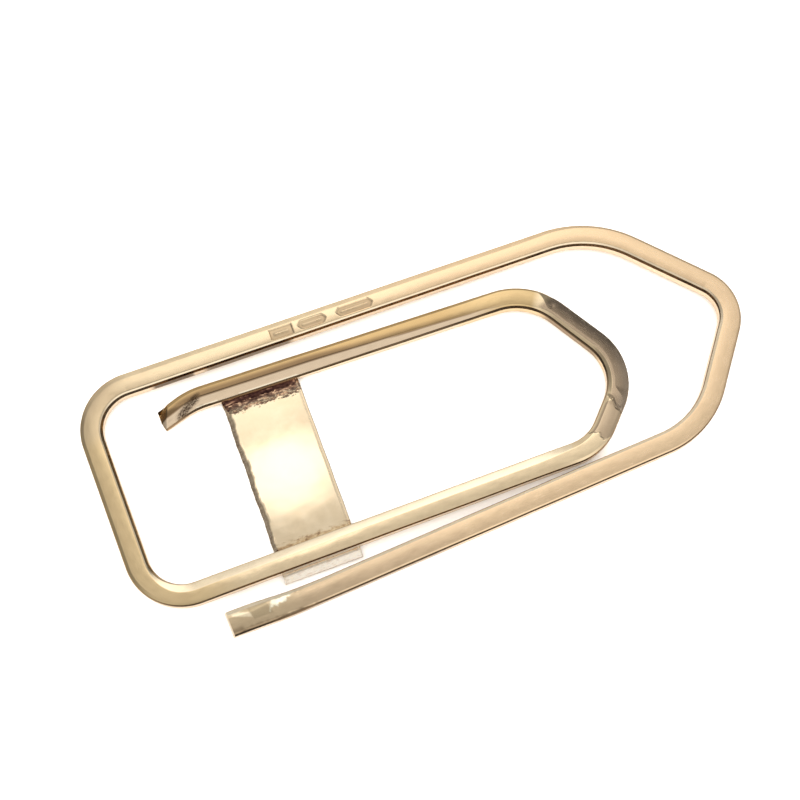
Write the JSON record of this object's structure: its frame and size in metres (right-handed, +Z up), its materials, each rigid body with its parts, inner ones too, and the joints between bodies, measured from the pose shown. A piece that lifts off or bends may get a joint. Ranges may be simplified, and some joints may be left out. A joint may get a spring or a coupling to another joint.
{
  "type": "paper clip money clip",
  "caption": "Flat gold bar bent like a paper clip with pointed ends, its inner tongue closed by a thin soldered bridge plate; it springs open to hold folded banknotes.",
  "frame": {"origin": "centre of the bounding box in plan, on the surface that the clip lies on", "axes": "+X from the heel bar to the outer point, along the legs; +Y towards the outer upper leg, the one with the punch marks; +Z up, away from the bridge plate"},
  "size_m": [0.0604, 0.026, 0.0025],
  "materials": {
    "wire": "polished yellow gold bar, softly worn, with fine scratches",
    "plate": "polished yellow gold sheet, mirror bright",
    "solder": "rough heat-stained gold solder"
  },
  "bodies": {
    "tongue": {"heel_tongue_corner": "wire", "tongue_lower_leg": "wire", "tongue_point": "wire", "tongue_upper_leg": "wire", "tongue_free_end": "wire", "bridge_plate": "plate", "upper_solder_seam": "solder", "lower_solder_seam": "solder"},
    "outer_loop": {"heel_bar": "wire", "outer_upper_leg": "wire", "outer_point": "wire"},
    "free_leg": {"outer_lower_leg": "wire", "outer_free_end": "wire"}
  },
  "joints": [
    {"name": "outer_loop_lift", "type": "hinge", "parent": "tongue", "child": "outer_loop", "pos_m": [-0.02899, -0.0023, 0.00108], "axis": [0.0262, -0.9997, 0], "range_deg": [0, 7], "stiffness_Nm_per_rad": 0.57},
    {"name": "free_leg_flex", "type": "hinge", "parent": "outer_loop", "child": "free_leg", "pos_m": [0.01798, -0.0097, 0.00108], "axis": [-0.0558, 0.9984, 0], "range_deg": [0, 4], "stiffness_Nm_per_rad": 2}
  ]
}
